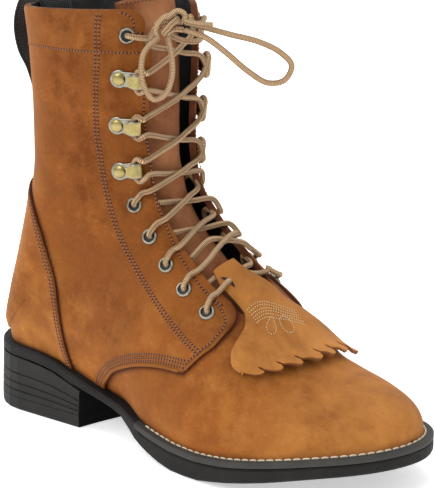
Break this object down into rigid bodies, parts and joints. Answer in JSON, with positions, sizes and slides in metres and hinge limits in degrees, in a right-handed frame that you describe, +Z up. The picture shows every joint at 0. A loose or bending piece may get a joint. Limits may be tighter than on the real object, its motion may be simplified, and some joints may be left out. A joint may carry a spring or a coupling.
{
  "type": "lace-up boot",
  "caption": "Right lace-up ankle boot with speed hooks, fringed kiltie, stacked heel, rubber sole and an open hollow upper.",
  "frame": {"origin": "on the floor, centre of the heel's underside", "axes": "+X from the heel to the toe, +Z up, +Y to the wearer's left, the inner side of this right boot"},
  "size_m": [0.301, 0.1133, 0.2633],
  "materials": {
    "leather": "oiled nubuck",
    "tongue_leather": "suede",
    "lining": "smooth",
    "rubber": "matte",
    "webbing": "woven",
    "metal": "antique",
    "lace": "braided"
  },
  "bodies": {
    "root": {"upper": "leather", "heel_counter": "leather", "back_stay": "leather", "tongue": "tongue_leather", "kiltie": "leather", "pull_loop": "webbing", "outsole": "rubber", "welt": "rubber", "insole": "lining", "heel_stack": "rubber", "heel_cap": "rubber", "eyelet_outer_1": "metal", "hook_outer_2": "metal", "hook_outer_3": "metal", "hook_outer_4": "metal", "eyelet_outer_5": "metal", "eyelet_outer_6": "metal", "eyelet_outer_7": "metal", "eyelet_outer_8": "metal", "eyelet_outer_9": "metal", "eyelet_inner_1": "metal", "hook_inner_2": "metal", "hook_inner_3": "metal", "hook_inner_4": "metal", "eyelet_inner_5": "metal", "eyelet_inner_6": "metal", "eyelet_inner_7": "metal", "eyelet_inner_8": "metal", "eyelet_inner_9": "metal", "lace_crossing_1": "lace", "lace_crossing_2": "lace", "lace_crossing_3": "lace", "lace_crossing_4": "lace", "lace_crossing_5": "lace", "lace_crossing_6": "lace", "lace_crossing_7": "lace", "lace_crossing_8": "lace", "lace_bar": "lace", "lace_tie_outer": "lace", "lace_tie_inner": "lace", "lace_knot": "lace", "lace_loop_outer": "lace", "lace_loop_inner": "lace", "lace_end": "lace"}
  },
  "joints": []
}
